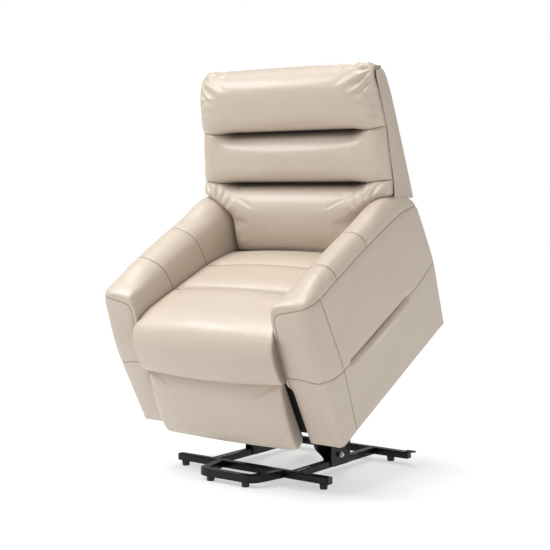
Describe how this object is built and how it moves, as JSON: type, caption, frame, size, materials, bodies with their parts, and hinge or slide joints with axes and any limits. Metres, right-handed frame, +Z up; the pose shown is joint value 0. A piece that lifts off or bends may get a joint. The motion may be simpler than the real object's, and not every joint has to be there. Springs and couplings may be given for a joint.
{
  "type": "lift recliner chair",
  "caption": "Power lift recliner armchair with three-pillow back, padded arms, folding footrest and a steel tilt-lift base, shown raised.",
  "frame": {"origin": "on the floor under the middle of the raised chair's bounding box", "axes": "+Z up, -Y the way the sitter faces, +X the sitter's left"},
  "size_m": [0.82, 0.828, 1.3282],
  "materials": {
    "beige_leather": "smooth upholstery leather, warm beige, soft satin sheen",
    "plywood": "bare plywood and hardwood",
    "black_powder_coat": "semi-gloss black powder coat",
    "black_plastic": "matte black moulded plastic",
    "black_rubber": "matte black rubber",
    "actuator_black": "black painted actuator housing",
    "actuator_rod": "drawn aluminium rod"
  },
  "bodies": {
    "base": {"front_crossbar": "black_powder_coat", "rear_crossbar": "black_powder_coat", "side_rail_left": "black_powder_coat", "side_rail_right": "black_powder_coat", "front_bumper_loop": "black_powder_coat", "front_crossbar_cap_left": "black_plastic", "front_crossbar_cap_right": "black_plastic", "rear_crossbar_cap_left": "black_plastic", "rear_crossbar_cap_right": "black_plastic", "front_foot_left": "black_rubber", "front_foot_right": "black_rubber", "bumper_foot_left": "black_rubber", "bumper_foot_right": "black_rubber", "rear_foot_left": "black_rubber", "rear_foot_right": "black_rubber", "outer_bracket_left": "black_powder_coat", "outer_bracket_right": "black_powder_coat", "inner_bracket_left": "black_powder_coat", "inner_bracket_right": "black_powder_coat"},
    "lift_arm": {"lift_arm_frame": "black_powder_coat"},
    "upper_links": {"upper_link_left": "black_powder_coat", "upper_link_right": "black_powder_coat"},
    "lift_motor": {"lift_actuator_body": "actuator_black"},
    "lift_rod": {"lift_actuator_rod": "actuator_rod"},
    "carriage": {"carriage_plate_left": "black_powder_coat", "carriage_plate_right": "black_powder_coat", "seat_cross_tube": "black_powder_coat", "seat_rail_left": "plywood", "seat_rail_right": "plywood", "seat_deck": "plywood", "seat_cushion": "beige_leather", "rear_skirt": "beige_leather", "recline_actuator_body": "actuator_black", "arm_frame_left": "plywood", "arm_frame_right": "plywood", "arm_lower_panel_left": "beige_leather", "arm_lower_panel_right": "beige_leather", "arm_upper_panel_left": "beige_leather", "arm_upper_panel_right": "beige_leather", "arm_front_panel_left": "beige_leather", "arm_front_panel_right": "beige_leather", "arm_top_pad_left": "beige_leather", "arm_top_pad_right": "beige_leather"},
    "backrest": {"back_frame": "plywood", "back_strap_left": "black_powder_coat", "back_strap_right": "black_powder_coat", "recline_lever": "black_powder_coat", "lumbar_cushion": "beige_leather", "middle_cushion": "beige_leather", "head_cushion": "beige_leather", "back_cover": "beige_leather"},
    "recline_rod": {"recline_actuator_rod": "actuator_rod"},
    "foot_links_rear": {"foot_link_a_left": "black_powder_coat", "foot_link_a_right": "black_powder_coat"},
    "foot_links_front": {"foot_link_b_left": "black_powder_coat", "foot_link_b_right": "black_powder_coat"},
    "footrest": {"footrest_board": "plywood", "footrest_pad": "beige_leather", "footrest_bracket_left": "black_powder_coat", "footrest_bracket_right": "black_powder_coat"}
  },
  "joints": [
    {"name": "lift", "type": "hinge", "parent": "base", "child": "lift_arm", "pos_m": [0, 0.05744, 0.222], "axis": [-1, 0, 0], "range_deg": [0, 81.87]},
    {"name": "carriage_tilt", "type": "hinge", "parent": "lift_arm", "child": "carriage", "pos_m": [0, 0.20806, 0.43686], "axis": [-1, 0, 0], "range_deg": [-53.67, 0]},
    {"name": "upper_link_swing", "type": "hinge", "parent": "base", "child": "upper_links", "pos_m": [0, 0.04344, 0.276], "axis": [-1, 0, 0], "range_deg": [0, 81.75]},
    {"name": "lift_motor_swing", "type": "hinge", "parent": "base", "child": "lift_motor", "pos_m": [0, 0.32644, 0.078], "axis": [-1, 0, 0], "range_deg": [0, 3.15]},
    {"name": "lift_rod_slide", "type": "slide", "parent": "lift_motor", "child": "lift_rod", "axis": [0, 0.8328, -0.5535], "range_m": [0, 0.06325]},
    {"name": "recline", "type": "hinge", "parent": "carriage", "child": "backrest", "pos_m": [0, 0.16448, 0.72976], "axis": [-1, 0, 0], "range_deg": [0, 35]},
    {"name": "recline_rod_slide", "type": "slide", "parent": "carriage", "child": "recline_rod", "axis": [0, -0.8813, -0.4726], "range_m": [0, 0.06616]},
    {"name": "footrest_extend", "type": "hinge", "parent": "carriage", "child": "foot_links_rear", "pos_m": [0, -0.28248, 0.36982], "axis": [-1, 0, 0], "range_deg": [0, 88.36]},
    {"name": "foot_elbow", "type": "hinge", "parent": "foot_links_rear", "child": "foot_links_front", "pos_m": [0, -0.1542, 0.19604], "axis": [-1, 0, 0], "range_deg": [-137.55, 0]},
    {"name": "footrest_tilt", "type": "hinge", "parent": "foot_links_front", "child": "footrest", "pos_m": [0, -0.27768, 0.32701], "axis": [-1, 0, 0], "range_deg": [0, 139.19]}
  ],
  "couplings": [
    {"joint": "carriage_tilt", "follows": "lift", "ratio": -0.65555},
    {"joint": "upper_link_swing", "follows": "lift", "ratio": 0.99852},
    {"joint": "lift_motor_swing", "follows": "lift", "ratio": 0.038475},
    {"joint": "lift_rod_slide", "follows": "lift", "m_per_rad": 0.044264},
    {"joint": "recline_rod_slide", "follows": "recline", "m_per_rad": 0.1083},
    {"joint": "foot_elbow", "follows": "footrest_extend", "ratio": -1.5567},
    {"joint": "footrest_tilt", "follows": "footrest_extend", "ratio": 1.5753}
  ]
}
